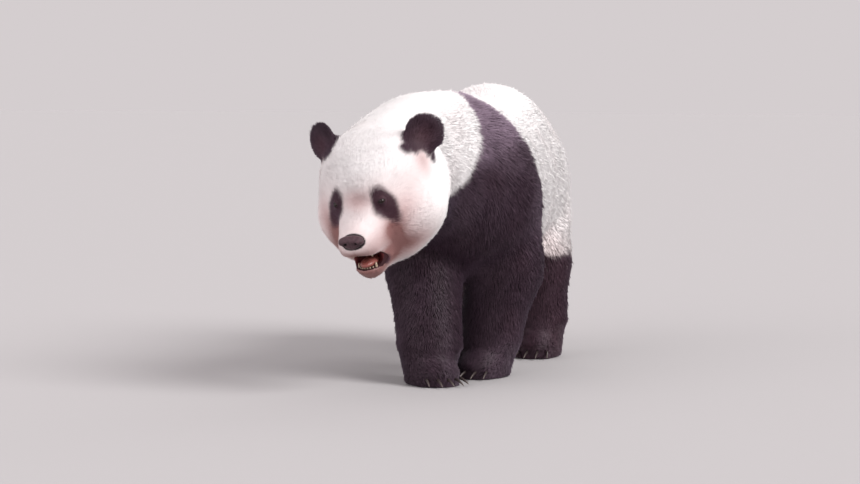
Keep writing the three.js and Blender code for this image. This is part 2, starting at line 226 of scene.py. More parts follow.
def flesh_of(nodes):
    """The CAD's solids as one mesh of triangles, and the node that each triangle comes from."""
    points, corners, owners = [], [], []
    start = 0
    for name in nodes:
        mesh = frame["nodes"][name].data
        mesh.calc_loop_triangles()
        triangles = read(mesh.loop_triangles, "vertices", 3, int)
        points.append(points_of(mesh))
        corners.append(triangles + start)
        owners += [name] * len(triangles)
        start += len(mesh.vertices)
    return np.concatenate(points), np.concatenate(corners), np.array(owners)


# ---- The coat of each part of the body: how deep the skin lies in it, the tufts' length and width,
# in mm, how many grow on a square cm, and how much the CAD's facets are smoothed, from 0 to 1

Coat = namedtuple("Coat", "depth length width per_cm2 smoothing")
COATS = {
    "trunk": Coat(17, 42, 2.5, 12.0, 1.0),
    "neck": Coat(12, 36, 2.1, 16.0, 1.0),
    "tail": Coat(7, 44, 2.3, 16.0, 0.1),
    "upper_leg": Coat(15, 36, 2.4, 12.5, 0.8),
    "lower_leg": Coat(13, 33, 2.2, 13.0, 0.6),
    "paw": Coat(9, 24, 1.9, 18.0, 0.3),
    "ear": Coat(8, 20, 1.4, 34.0, 0.25),
    "head": Coat(9, 22, 1.45, 34.0, 0.45),
    "eye": Coat(4, 8, 0.9, 50.0, 0.45),
    "lower_jaw": Coat(7, 15, 1.3, 34.0, 0.3),
}
FACE_COAT = (4, 10, 0.95, 62.0)  # the first four of these on the muzzle and round the eyes
MUZZLE = ((0, -190, -80), (75, 90, 75))  # its middle and size
SHORTEST = (0.22, 0.36)  # how much of its depth and length is left beside eyes, nose and mouth



class Groove(namedtuple("Groove", "far width deep")):
    """How far out from an edge it lies, how wide it is and how deep, in mm."""

    def depth_at(self, gap):
        return self.deep * np.exp(-((gap - self.far) / self.width) ** 2)


TAIL_GROOVE = Groove(8, 13, 10)  # round the tail


def is_of(node, parts):
    """Whether a node's name starts or ends with one of the parts' names."""
    return node.startswith(tuple(parts)) or node.endswith(tuple(parts))


def coat_of(node):
    return next(coat for part, coat in COATS.items() if is_of(node, [part]))


def belongs(owners, parts):
    names, number = np.unique(owners, return_inverse=True)
    return np.array([is_of(name, parts) for name in names])[number]


FLESH = [name for name in sorted(frame["nodes"]) if is_of(name, COATS)]
flesh_points, flesh_corners, flesh_owners = flesh_of(FLESH)
flesh_tree = BVHTree.FromPolygons(flesh_points.tolist(), flesh_corners.tolist())


def nearest_nodes(points):
    return flesh_owners[[flesh_tree.find_nearest(Vector(p))[2] for p in points]]


def tail_groove(points, owners):
    """How much deeper the skin lies for the tail to stand out from the rump, in mm."""
    low, high = (np.array(corner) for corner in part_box("tail"))
    radius = (high[0] - low[0]) / 2
    line = np.tile((low + high) / 2, (len(points), 1))
    line[:, 2] = np.clip(points[:, 2], low[2] + radius, high[2] - radius)
    gap = (norm(points - line) - radius) / MM
    below_root = smoothstep(high[2], high[2] - 0.08, points[:, 2])
    return TAIL_GROOVE.depth_at(gap) * below_root * ~belongs(owners, ["tail"])


def coat_fields(points, edges, owners):
    """The coat at each point of the skin, as in COATS."""
    table = spread(np.array([coat_of(owner)[:4] for owner in owners], float), edges, 24)
    here = in_head(points)
    to_eye = to_nearer_eye(here)
    to_nose = norm(here - NOSE_AT)
    face = np.maximum(blob(here, *MUZZLE), 1 - smoothstep(12, 60, to_eye))
    table = mix(table, FACE_COAT, face[:, None])
    depth, length, width, per_cm2 = table.T
    length *= 1 - 0.4 * blob(on_left(here), EAR_AT, (50, 60, 50))
    far = np.minimum(smoothstep(10, 26, to_eye), smoothstep(30, 62, to_nose))
    far = np.minimum(far, smoothstep(1, 22, beside_mouth(here)))
    depth *= mix(SHORTEST[0], 1, far)
    length *= mix(SHORTEST[1], 1, far)
    return {"depth": depth, "length": length, "width": width, "per_cm2": per_cm2}


# ---- The skin

VOXEL = 6.5 * MM
SMOOTHING_ROUNDS = 36


def subdivide(mesh, chosen):
    """Splits the chosen faces into four. chosen takes their centres in the head's space."""
    shape = bmesh.new()
    shape.from_mesh(mesh)
    centres = np.array([face.calc_center_median() for face in shape.faces])
    keep = chosen(in_head(centres))
    edges = {edge for face, wanted in zip(shape.faces, keep) if wanted for edge in face.edges}
    bmesh.ops.subdivide_edges(shape, edges=list(edges), cuts=1, use_grid_fill=True)
    shape.to_mesh(mesh)
    shape.free()


def relax(mesh, rounds, strength):
    points = points_of(mesh)
    move_points(mesh, spread(points, read(mesh.edges, "vertices", 2, int), rounds, strength))


def make_skin():
    mesh = remeshed(mesh_from("flesh", flesh_points, flesh_corners, 3), VOXEL)
    edges = read(mesh.edges, "vertices", 2, int)
    points = points_of(mesh)
    owners = nearest_nodes(points)
    smoothing = spread(np.array([coat_of(owner).smoothing for owner in owners]), edges, 12)
    points = spread(points, edges, SMOOTHING_ROUNDS, smoothing)
    move_points(mesh, points)

    depth = coat_fields(points, edges, owners)["depth"] + tail_groove(points, owners)
    above_sole = smoothstep(2, 30, points[:, 2] / MM)
    inward = unit(spread(normals_of(mesh), edges, 6))
    points = points - inward * (depth * above_sole * MM)[:, None]
    points[:, 2] = np.maximum(points[:, 2], 0.5 * MM)
    move_points(mesh, points)
    relax(mesh, 3, 0.6)

    def face(centres):
        return (centres[:, 1] < -60) & (norm(centres[:, ::2]) < 220)

    def eyes_and_mouth(centres):
        round_mouth = (centres[:, 1] < -110) & (np.abs(beside_mouth(centres)) < 16)
        return (to_nearer_eye(centres) < 40) | round_mouth

    def lids(centres):
        return to_nearer_eye(centres) < 19

    for chosen in (face, eyes_and_mouth, lids):
        subdivide(mesh, chosen)
        here = in_head(points_of(mesh))
        weight = smoothstep(-50, -80, here[:, 1]) * (norm(here) < 400)
        relax(mesh, 3, weight * 0.8)
    return mesh


# ---- The eyes' places on the head, and their lids

Eye = namedtuple("Eye", "side centre across up out")  # across points to the outer corner
EYE_TILT = math.radians(8)  # outer corners up
LID_THICKNESS = 1.3
OPENING = (8.8, 4.9)  # half its length and height
LID_REACH = 26  # how far from the middle of the eye the lids shape the face
LID_SOFTNESS = 3.0  # how softly they run into it
LID_CREASE = Groove(3.4, 1.1, 0.7)  # above the upper lid's edge
SLIT_DEPTH = 2.2  # how far the skin lies inside the eyeball between the lids


def find_eyes(mesh):
    """The eyes face the way that the face does around them."""
    here = in_head(points_of(mesh))
    normals = normals_of(mesh) @ HEAD_AXES
    eyes = []
    for side in SIDES.values():
        centre = LEFT_EYE_AT * (side, 1, 1)
        out = unit(normals[norm(here - centre) < 20].mean(0))
        level = unit(np.cross([0, 0, 1], out)) * side
        top = unit(np.cross(out, level)) * side
        across = level * math.cos(EYE_TILT) + top * math.sin(EYE_TILT)
        up = top * math.cos(EYE_TILT) - level * math.sin(EYE_TILT)
        eyes.append(Eye(side, centre, across, up, out))
    return eyes


def in_eye(eye, here):
    """Along the opening towards the outer corner, up, and out of the face, in mm."""
    return (here - eye.centre) @ np.stack([eye.across, eye.up, eye.out], 1)


def beside_opening(u, v):
    """How far outside the almond between the lids a point is, in mm."""
    half_length, half_height = OPENING
    reach = np.clip(1 - (u / half_length) ** 2, 0, 1)
    edge = half_height * reach ** 0.75 * np.where(v > 0, 1, 0.85)
    beyond_corner = np.maximum(np.abs(u) - half_length, 0)
    return np.hypot(np.abs(v), 1.6 * beyond_corner) - edge


def sculpt_lids(here, eye):
    """Raises lids over the eyeball and opens the slit between them."""
    u, v, w = in_eye(eye, here).T
    radius = np.hypot(u, v)
    near = (radius < LID_REACH) & (w > -14)
    over = EYE_RADIUS + LID_THICKNESS
    lid = np.sqrt(np.maximum(over ** 2 - radius ** 2, 0))
    overlap = np.maximum(LID_SOFTNESS - np.abs(lid - w), 0) / LID_SOFTNESS
    covered = np.maximum(lid, w) + overlap ** 2 * LID_SOFTNESS / 4
    gap = beside_opening(u, v)
    covered -= LID_CREASE.depth_at(gap) * (v > 0) * (np.abs(u) < 10)
    inside = np.sqrt(np.maximum((EYE_RADIUS - SLIT_DEPTH) ** 2 - radius ** 2, 0))
    shaped = mix(inside, covered, smoothstep(-0.9, 0.5, gap))
    shaped = np.where(near, shaped, w)
    return here + (shaped - w)[:, None] * eye.out


# ---- Shapes on the skin that the CAD leaves out

RELIEF = (  # a place on the left of the face, its size, and how much it swells or sinks
    ((0, -150, 14), (34, 40, 24), -7.0),
    ((60, -150, -64), (19, 38, 42), -8.5),
    ((118, -60, 4), (40, 50, 40), -2.5),
    ((36, -200, -116), (20, 26, 7), -1.5),
    ((30, -205, -94), (22, 26, 14), 2.0),
    ((38, -166, -32), (17, 34, 26), 4.0),
    ((84, -106, -150), (30, 46, 34), 12.0),
    ((46, -158, -170), (20, 40, 20), 5.0),
    ((74, -112, 52), (34, 40, 22), 2.5),
)
RELIEF_CENTRE = (0, 0, -40)  # it swells away from here
BROAD_BRIDGE = 0.28  # how much the CAD's muzzle is widened behind the nose


def sculpt_face(here):
    """A stop, a broad bridge, hollows beside it, full lips and jaw, a groove under the nose."""
    left = on_left(here)
    height = sum(high * blob(left, centre, size) for centre, size, high in RELIEF)
    here = here + unit(here - RELIEF_CENTRE) * height[:, None]
    x, y, z = here.T
    x = x * (1 + BROAD_BRIDGE * blob(here, (0, -168, -34), (60, 44, 28)))
    front = smoothstep(-195, -215, y)
    groove = np.exp(-(x / 2.2) ** 2) * smoothstep(-118, -108, z) * smoothstep(-70, -82, z) * front
    y = y + 2.4 * groove
    return np.stack([x, y, z], 1)


def finish_face(mesh):
    here = sculpt_face(in_head(points_of(mesh)))
    for eye in eyes:
        here = sculpt_lids(here, eye)
    move_points(mesh, from_head(here))


# ---- Markings: one rule for skin and coat

# The black band over the shoulders: its front and rear edge at each height, in metres
BAND_FRONT = (
    (0.475, -0.551), (0.493, -0.421), (0.518, -0.374), (0.556, -0.341), (0.601, -0.307),
    (0.639, -0.281), (0.681, -0.258), (0.726, -0.216), (0.752, -0.187), (0.762, -0.185),
)
BAND_REAR = (
    (0.280, 0.070), (0.350, 0.045), (0.440, -0.020), (0.520, -0.075), (0.565, -0.101),
    (0.592, -0.106), (0.641, -0.114), (0.688, -0.105), (0.726, -0.107), (0.756, -0.128),
    (0.768, -0.100),
)
SPINE_X = 0.01  # where the band is swept back over the spine, and how far and how widely
SPINE_BACK = 0.07
SPINE_WIDTH = 0.05
FAR_SIDE_BACK = 0.03  # how much further back the band lies on the animal's right side
HIND_LEG_TOP = 0.28
PATCH_MIDDLE = (70, -2)  # the left eye's black patch, seen from in front of the face, in mm
PATCH_RADII = (25, 55)
PATCH_TAPER = 0.2  # how much narrower its lower end is
PATCH_SLANT = math.radians(22)  # lower end outwards
PATCH_DEPTH = 28  # how far its middle counts as being from its edge
FAR_FROM_BLACK = -30  # as the back of the head counts
EAR_AT = (141, 22, 122)
EAR_BLACK = 55  # how far from the ear's middle the black reaches on the head
EAR_LOBES = (((115, -26, 114), 20), ((154, 30, 62), 15))  # of black below the ear
EAR_NOTCH = ((143, -12, 72), 22)  # of white between them
MOUTH_CORNER = ((45, -140, -144), 12)
THROAT_EDGE = (30, -72)  # the black of the throat lies behind and below this
THROAT_REACH = 260  # and this near to the head
SOFT_EDGE = 6  # how far black and white run into each other, in mm

MARKED_PARTS = {
    "head": ("head", "lower_jaw", "eye"),
    "ear": ("ear",),
    "thigh": ("hind_right_upper_leg", "hind_left_upper_leg"),
    "foot": ("hind_right_lower_leg", "hind_left_lower_leg", "paw"),
    "front_leg": ("front_right_upper_leg", "front_left_upper_leg", "front_right_lower_leg",
                  "front_left_lower_leg"),
}


def part_shares(edges, owners):
    """How much each point of the skin belongs to each marked part, with soft borders."""
    return {
        f"on_{part}": spread(belongs(owners, names).astype(float), edges, 10)
        for part, names in MARKED_PARTS.items()
    }


def inside_ball(points, ball):
    centre, radius = ball
    return radius - norm(points - centre)


def eye_patch(left):
    x, z = (left[:, ::2] - PATCH_MIDDLE).T
    along = (z * math.cos(PATCH_SLANT) - x * math.sin(PATCH_SLANT)) / PATCH_RADII[1]
    aside = (x * math.cos(PATCH_SLANT) + z * math.sin(PATCH_SLANT)) / PATCH_RADII[0]
    near = np.hypot(aside / (1 + PATCH_TAPER * np.clip(along, -1, 0)), along)
    return np.where(left[:, 1] < -40, (1 - near) * PATCH_DEPTH, FAR_FROM_BLACK)


def ear_black(left):
    black = inside_ball(left, (EAR_AT, EAR_BLACK))
    for lobe in EAR_LOBES:
        black = np.maximum(black, inside_ball(left, lobe))
    return np.minimum(black, -inside_ball(left, EAR_NOTCH))


def blackness(points, shares):
    """How far inside the black of the coat each point is, in mm. shares comes from part_shares."""
    here = in_head(points)
    left = on_left(here)
    x, y, z = points.T
    swept = FAR_SIDE_BACK * smoothstep(0.06, -0.10, x)
    swept += SPINE_BACK * np.exp(-((x - SPINE_X) / SPINE_WIDTH) ** 2) * smoothstep(0.68, 0.75, z)
    behind_front = y - swept - np.interp(z, *zip(*BAND_FRONT))
    before_rear = np.interp(z, *zip(*BAND_REAR)) + swept - y
    band = np.minimum(behind_front, before_rear) / MM
    face = np.maximum.reduce([eye_patch(left), ear_black(left), inside_ball(left, MOUTH_CORNER)])
    black = np.where(shares["on_head"] + shares["on_ear"] > 0.5, face, band)
    throat = np.minimum(here[:, 1] - THROAT_EDGE[0], THROAT_EDGE[1] - here[:, 2])
    near_head = THROAT_REACH - norm(here)
    black = np.maximum(black, np.minimum(throat, near_head))
    below_thigh_top = (HIND_LEG_TOP - 0.12 * (y - 0.45) - z) / MM + 10 * waves(points, 0.11, 33)
    black = np.maximum(black, np.minimum((shares["on_thigh"] - 0.35) * 90, below_thigh_top))
    for part in ("ear", "foot", "front_leg"):
        black = np.maximum(black, (shares[f"on_{part}"] - 0.5) * 60)
    ragged = mix(2.6, 1.0, shares["on_head"])
    return black + ragged * waves(points, 0.035, 31)


STAINS_AND_PAINTED_LIGHT = (  # stains and painted light on the head: how strong each is, its place and its size, alike on both sides
    (0.62, (0, -160, 21), (42, 60, 25)),  # painted shade in the stop between the eyes
    (0.16, (0, -190, -44), (52, 46, 36)),  # on the muzzle
    # painted shade down the sides of the muzzle
    (0.46, (46, -186, -84), (24, 46, 28)),
    (0.80, (0, -214, -103), (48, 28, 17)),  # painted shadow under the nose, on the upper lip
    (0.76, (80, -122, -68), (26, 42, 32)),  # on the cheeks: partly brown dirt, partly painted shade
    # painted shade in the creases between the muzzle and the cheeks
    (0.32, (64, -140, -72), (18, 50, 36)),
    # painted pinkish shade round the outer edges of the eye patches
    (0.42, (116, -90, -20), (46, 60, 60)),
    (0.26, (106, -108, -36), (20, 40, 36)),
    # the lower cheeks: partly brown dirt, partly painted shade
    (0.80, (94, -100, -116), (60, 66, 36)),
    (1.0, (50, -138, -138), (26, 36, 26)),  # at the corners of the mouth
    (1.2, (0, -168, -172), (62, 56, 32)),  # on the chin
    # painted red glow of light through the ears
    (0.5, EAR_AT, (34, 34, 34)),
    (0.45, EAR_NOTCH[0], (22, 26, 26)),
    (0.28, (146, -14, 40), (26, 40, 36)),  # below the ears
    (0.3, (66, -130, 0), (22, 40, 40)),  # in the eye patches
)
RUMP_STAIN = (0.22, (0.037, 0.68, 0.42), (0.2, 0.12, 0.2))  # in metres


def staining_and_painted_light(points):
    """How brown or pink each point of the coat is, from 0 to 1: real stains, and painted shade and
    glow on the head.
    """
    here = in_head(points)
    left = on_left(here)
    y, z = points[:, 1:].T
    # a faint pink over the front and lower part of the face: painted warm shade
    stain = 0.10 * smoothstep(-40, -100, here[:, 1]) * smoothstep(120, 40, here[:, 2])
    stain += sum(strong * blob(left, centre, size) for strong, centre, size in STAINS_AND_PAINTED_LIGHT)
    strong, centre, size = RUMP_STAIN
    stain += strong * blob(points, centre, size)
    stain += 0.30 * smoothstep(0.45, 0.25, z) * smoothstep(0.0, 0.2, y)
    stain += 0.06 * waves(points, 0.16, 21)
    return np.clip(stain, 0, 1)


def fading_and_sheen(points, shares):
    """How much lighter black hair is, from 0 to 1: most over the tops of the shoulders, partly
    sun-bleached and partly painted sunlit sheen.
    """
    fade = 0.95 * smoothstep(0.52, 0.70, points[:, 2] + 0.02 * waves(points, 0.12, 52))
    fade += 0.12 * waves(points, 0.2, 51) + 0.16 * fade * waves(points * (1, 0.5, 1), 0.07, 53)
    return np.clip(fade, 0, 1) * (1 - np.clip(shares["on_head"] + shares["on_ear"], 0, 1))


# ---- The lie of the coat

PAW_TURNS = {"front_right": 42, "front_left": -26, "hind_right": 12, "hind_left": -12}  # degrees


def lie_of_coat(points, normals, edges, owners):
    """The way that the hair lies at each point of the skin."""
    here = in_head(points)
    away_from_nose = unit(here - (0, -228, -52)) @ HEAD_AXES.T
    for eye in eyes:
        gap = here - eye.centre
        push = np.exp(-(norm(gap)[:, None] / 24) ** 2)
        away_from_nose += 1.1 * push * (unit(gap) @ HEAD_AXES.T)
    side = np.sqrt(np.maximum(1 - normals[:, 2:] ** 2, 0))
    down = np.array([0, 0, -1])
    ahead = np.maximum(-normals[:, 1:2], 0)
    under_rump = smoothstep(0.50, 0.66, points[:, 1:2]) * smoothstep(-0.1, -0.6, normals[:, 2:])
    onwards = 1 - 1.8 * under_rump  # under the rump the hair turns forwards
    flow = {
        "trunk": onwards * (0, 1, 0) + (0.75 * side + 1.2 * ahead) * down,
        "neck": (0.3, 0.95, 0) + 0.7 * side * down,
        "tail": (0, 0.15, -1),
        "upper_leg": (0, 0.3, -1),
        "lower_leg": (0, 0.12, -1),
        "head": away_from_nose,
    }
    for leg in LEGS:
        turn = math.radians(PAW_TURNS[leg])
        flow[leg + "_paw"] = (math.sin(turn), -math.cos(turn), -0.55)
    for name in SIDES:
        base = mix(HEAD_CENTRE, box_middle(f"ear_{name}"), 0.72)
        flow["ear_" + name] = unit(points - base)
    total = np.zeros_like(points)
    for part, direction in flow.items():
        total += belongs(owners, MARKED_PARTS.get(part, [part]))[:, None] * direction
    total = spread(unit(total), edges, 10)
    return unit(total - normals * dot(total, normals))


# ---- Growing the coat

MOST_TUFTS = 355_000
MOST_IN_A_PIECE = 49_000
PATCH_OF_MAP = 0.003  # each tuft's place on the skin's unwrap is about this wide

# A tuft is a narrow bent leaf with a keel under it: a root, two shoulders and a tip
TUFT_FACES = np.array([(0, 1, 2), (1, 3, 2), (0, 3, 1), (0, 2, 3)])
TUFT_MAP = np.array([(0, -0.5), (-0.4, 0), (0.4, 0), (0, 0.5)])
SHOULDER = 0.4  # how far along the tuft it is widest
SIDE_LEAN = 0.2  # how far the shading leans sideways at a tuft's shoulders
TIP_LEAN = 0.2  # and along it at its tip
ROOT_DEPTH = 1.5 * MM
SHOULDER_RISE = 0.62  # how much of its rise a tuft has at its shoulders
STRAY = 0.3  # how far the few stray tufts stand off the coat
MOST_STRAY = 0.45
LOCKS = ((0.017, 0.10), (0.007, 0.22))  # the size of locks of tips, and how strongly they gather
LOCK_REACH = 0.16  # how far a tip is drawn at most, of how far it reaches along the skin
SEEN_AT = (0.45, 0.85)  # how far along a tuft its shoulders and its tip take their markings


def sample_roots(mesh, fields):
    """Roots spread over the skin by the coat's density, with every field of the skin at each."""
    mesh.calc_loop_triangles()
    corners = read(mesh.loop_triangles, "vertices", 3, int)
    loops = read(mesh.loop_triangles, "loops", 3, int)
    points = points_of(mesh)
    a, b, c = points[corners.T]
    areas = norm(np.cross(b - a, c - a)) / 2
    density = fields["per_cm2"][corners].mean(1) * 1e4
    density *= fields["hairy"][corners].min(1)
    cells = np.floor((a + 2) / 0.02).astype(int)
    order = np.lexsort(cells.T)
    wanted = np.cumsum((areas * density)[order])
    scale = min(1, MOST_TUFTS / wanted[-1])
    count = int(wanted[-1] * scale)
    picks = (np.arange(count) + rng.uniform(0, 1, count)) / count * wanted[-1]
    chosen = order[np.minimum(np.searchsorted(wanted, picks), len(order) - 1)]
    first, second = rng.uniform(0, 1, (2, count))
    flip = first + second > 1
    first, second = np.where(flip, (1 - first, 1 - second), (first, second))
    weights = np.stack([1 - first - second, first, second], 1)

    def at_roots(values, index):
        return np.einsum("ij,ij...->i...", weights, values[index[chosen]])

    roots = {name: at_roots(values, corners) for name, values in fields.items()}
    roots["place"] = at_roots(points, corners)
    roots["map"] = at_roots(read(mesh.uv_layers["OFBake"].uv, "vector", 2), loops)
    roots["corner"] = corners[chosen, 0]
    return roots


def clumped(tips, normals, size, strength, most):
    """Draws tips that are close together into locks of uneven shape, each by no more than most."""
    warp = np.stack([waves(tips, size * 4, seed) for seed in (41, 42, 43)], 1)
    keys = np.floor(tips / size + 0.6 * warp).astype(np.int64)
    _, lock = np.unique(keys @ (1, 4096, 4096 ** 2), return_inverse=True)
    count = np.bincount(lock)[:, None]
    middle = np.stack([np.bincount(lock, column) for column in tips.T], 1) / count
    pull = (middle[lock] - tips) * strength
    pull -= normals * dot(pull, normals)
    far = norm(pull)[:, None]
    return tips + pull * np.minimum(1, most / np.maximum(far, 1e-9))


# For each tuft its four corners, their normals and places on the map, its tone, how far inside the
# black each corner is, its stain and painted light, and its sun-bleaching and painted sheen
Tufts = namedtuple("Tufts", "corners shine uv tone edge stain fade")


def tufts_from(roots):
    place = roots["place"]
    normal = unit(roots["normal"])
    count = len(place)
    flow = unit(roots["flow"] - normal * dot(roots["flow"], normal))
    side = np.cross(normal, flow)
    swirl = 0.10 * waves(place, 0.09, 5) + 0.06 * waves(place, 0.03, 6)
    swirl += rng.normal(0, 0.09, count)
    flow = flow * np.cos(swirl)[:, None] + side * np.sin(swirl)[:, None]
    length = roots["length"] * MM * (1 + 0.08 * waves(place, 0.05, 8))
    length *= rng.uniform(0.75, 1.1, count)
    stray = np.clip(STRAY * (rng.normal(0, 1, count) - 1.2), 0, MOST_STRAY)
    rise = np.minimum(roots["depth"] * MM * (rng.uniform(0.78, 1.02, count) + stray), 0.9 * length)
    run = np.sqrt(length ** 2 - rise ** 2)
    rise, run = rise[:, None], run[:, None]
    base = place - normal * ROOT_DEPTH
    middle = place + flow * run * SHOULDER + normal * rise * SHOULDER_RISE
    tip = place + flow * run + normal * rise
    for size, strength in LOCKS:
        tip = clumped(tip, normal, size, strength, LOCK_REACH * run)
    side = unit(np.cross(normal, tip - base))
    half = side * roots["width"][:, None] * MM / 2 * rng.uniform(0.75, 1.25, (count, 1))
    corners = np.stack([base, middle - half, middle + half, tip], 1)
    corners[:, 1:, 2] = np.maximum(corners[:, 1:, 2], 1.0 * MM)
    leans = (0, -SIDE_LEAN * side, SIDE_LEAN * side, TIP_LEAN * flow)
    shine = np.stack([unit(normal + lean) for lean in leans], 1)
    uv = roots["map"][:, None] + TUFT_MAP * PATCH_OF_MAP
    tone = (rng.normal(0, 1, count) + waves(place, 0.045, 9)) / 2
    scatter = rng.normal(0, 1, count) * mix(3.0, 1.6, roots["on_head"])
    low, high = (mix(place, tip, far) for far in SEEN_AT)
    low_edge, high_edge = (blackness(at, roots) + scatter for at in (low, high))
    edge = np.stack([low_edge, low_edge, low_edge, high_edge], 1)
    at = (low + high) / 2
    return Tufts(corners, shine, np.clip(uv, 0, 1), tone, edge, staining_and_painted_light(at), fading_and_sheen(at, roots))


def coat_piece(name, tufts, chosen, material):
    corners, shine, uv, tone, edge, stain, fade = (values[chosen] for values in tufts)
    count = len(corners)
    faces = (np.arange(count)[:, None, None] * 4 + TUFT_FACES).reshape(-1, 3)
    mesh = mesh_from(name, corners.reshape(-1, 3), faces, 3)
    layer = mesh.uv_layers.new(name="OFBake")
    layer.uv.foreach_set("vector", uv.reshape(-1, 2)[faces.ravel()].astype(np.float32).ravel())
    mesh.shade_smooth()
    write_fields(
        mesh,
        custom_normal=shine.reshape(-1, 3),
        along=np.tile([0, SHOULDER, SHOULDER, 1.0], count),
        tone=np.repeat(tone, 4),
        stain=np.repeat(stain, 4),
        fade=np.repeat(fade, 4),
        blackness=smoothstep(-SOFT_EDGE, SOFT_EDGE, edge).ravel(),
    )
    mesh.materials.append(material)
    piece = new_piece(name, mesh)
    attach(piece, "root")
    return piece


def region_of(owner, y):
    if owner.startswith(MARKED_PARTS["head"]):
        return "head"
    if owner.startswith("ear"):
        return "ears"
    if owner.startswith(LEGS):
        return "_".join(owner.split("_")[:2]) + "_leg"
    if owner == "trunk":
        return "shoulders" if y < 0 else "flanks" if y < 0.36 else "rump"
    return owner


def grow_coat(mesh, fields, owners):
    roots = sample_roots(mesh, fields)
    tufts = tufts_from(roots)
    keep = clear_of_face(tufts.corners)
    is_black = tufts.edge.mean(1) > 0
    places = zip(owners[roots["corner"]], roots["place"][:, 1])
    region = np.array([region_of(owner, y) for owner, y in places])
    for colour, inside in (("white", ~is_black), ("black", is_black)):
        for name in sorted(set(region)):
            chosen = np.flatnonzero(keep & inside & (region == name))
            chosen = chosen[np.argsort(roots["place"][chosen, 0], kind="stable")]
            parts = math.ceil(len(chosen) / MOST_IN_A_PIECE)
            for number, part in enumerate(np.array_split(chosen, parts) if parts else []):
                piece = coat_piece(f"coat_{colour}_{name}_{number + 1}", tufts, part, FUR[colour])


def clear_of_face(corners):
    """Which tufts stay off the eyes, the nose and the mouth."""
    tips = in_head(corners[:, 3])
    middles = in_head(corners[:, 1:3].mean(1))
    clear = np.ones(len(corners), bool)
    for eye in eyes:
        for ends in (tips, middles):
            u, v, w = in_eye(eye, ends).T
            clear &= ~((beside_opening(u, v) < 0.8) & (np.hypot(u, v) < 14) & (w > 0))
    nose = norm((tips - NOSE_AT) / (38, 22, 24))
    clear &= (nose > 1) | (tips[:, 1] > -205)
    clear &= beside_mouth(tips) > -0.5
    return clear


# ---- Materials

def add(tree, kind, inputs=(), **settings):
    """A new node. inputs gives sockets by name or number, each a value or a socket to link."""
    node = tree.nodes.new("ShaderNode" + kind)
    for name, value in settings.items():
        setattr(node, name, value)
    for socket, value in dict(inputs).items():
        if isinstance(value, bpy.types.NodeSocket):
            tree.links.new(value, node.inputs[socket])
        else:
            node.inputs[socket].default_value = value
    return node


def attribute(tree, name):
    return add(tree, "Attribute", attribute_name=name).outputs["Fac"]


def colour_ramp(tree, factor, *stops):
    node = add(tree, "ValToRGB", {"Fac": factor})
    first, last = node.color_ramp.elements
    first.position, last.position = stops[0][0], stops[-1][0]
    first.color, last.color = (*stops[0][1], 1), (*stops[-1][1], 1)
    for position, colour in stops[1:-1]:
        node.color_ramp.elements.new(position).color = (*colour, 1)
    return node.outputs["Color"]


def mixed(tree, factor, a, b, kind="MIX"):
    a, b = ((*value, 1) if isinstance(value, tuple) else value for value in (a, b))
    node = add(tree, "Mix", {0: factor, 6: a, 7: b}, data_type="RGBA", blend_type=kind)
    return node.outputs[2]


def maths(tree, operation, a, b, clamp=False):
    return add(tree, "Math", {0: a, 1: b}, operation=operation, use_clamp=clamp).outputs[0]


def noise(tree, scale, detail=3.0):
    place = add(tree, "TexCoord").outputs["Object"]
    inputs = {"Vector": place, "Scale": scale, "Detail": detail}
    return add(tree, "TexNoise", inputs).outputs["Fac"]


def new_material(name, **surface):
    material = bpy.data.materials.new(name)
    material.use_nodes = True
    shader = material.node_tree.nodes["Principled BSDF"]
    for socket, value in surface.items():
        shader.inputs[socket.replace("_", " ")].default_value = value
    return material, material.node_tree, shader


def paint(tree, shader, colour):
    tree.links.new(colour, shader.inputs["Base Color"])


def bump(tree, shader, height, strength, distance):
    node = add(tree, "Bump", {"Height": height, "Strength": strength, "Distance": distance})
    tree.links.new(node.outputs[0], shader.inputs["Normal"])


PINK = (0.64, 0.36, 0.35)  # white hair where stain and painted shade are light, and where they are strongest
BROWN = (0.34, 0.17, 0.16)


def white_hair(tree, along, tone, stain):
    hair = colour_ramp(
        tree, along,
        (0, (0.88, 0.84, 0.835)), (0.4, (0.94, 0.92, 0.92)), (1, (0.97, 0.955, 0.955)),
    )
    hair = mixed(tree, stain, hair, colour_ramp(tree, stain, (0.45, PINK), (1, BROWN)))
    spread_tone = maths(tree, "ADD", maths(tree, "MULTIPLY", tone, 0.10), 0.8)
    shade = colour_ramp(tree, spread_tone, (0, (0.82, 0.79, 0.785)), (1, (1, 1, 1)))
    return mixed(tree, 1.0, hair, shade, "MULTIPLY")


FADED_SHEEN = (0.30, 0.215, 0.29)  # black hair over the tops of the shoulders: partly sun-bleached, partly painted sunlit sheen
REDDISH_BLACK = (0.095, 0.032, 0.042)  # and where it is stained, or has the painted red glow of light through the ears


def black_hair(tree, along, tone, stain, fade):
    hair = colour_ramp(
        tree, along,
        (0, (0.007, 0.003, 0.005)), (0.45, (0.022, 0.009, 0.017)), (1, (0.043, 0.019, 0.034)),
    )
    glint = maths(tree, "MULTIPLY", tone, 0.3, clamp=True)
    hair = mixed(tree, glint, hair, (0.088, 0.054, 0.076))
    hair = mixed(tree, maths(tree, "MULTIPLY", stain, 0.7), hair, REDDISH_BLACK)
    return mixed(tree, maths(tree, "MULTIPLY", fade, along), hair, FADED_SHEEN)


def coat_colour(tree, along, tone):
    stain = attribute(tree, "stain")
    white = white_hair(tree, along, tone, stain)
    black = black_hair(tree, along, tone, stain, attribute(tree, "fade"))
    return mixed(tree, attribute(tree, "blackness"), white, black)


FUR_LOOKS = {
    "white": dict(Roughness=0.8, Sheen_Weight=0.15),
    "black": dict(Roughness=0.6, Sheen_Weight=0.10, Sheen_Tint=(0.75, 0.6, 0.85, 1)),
}


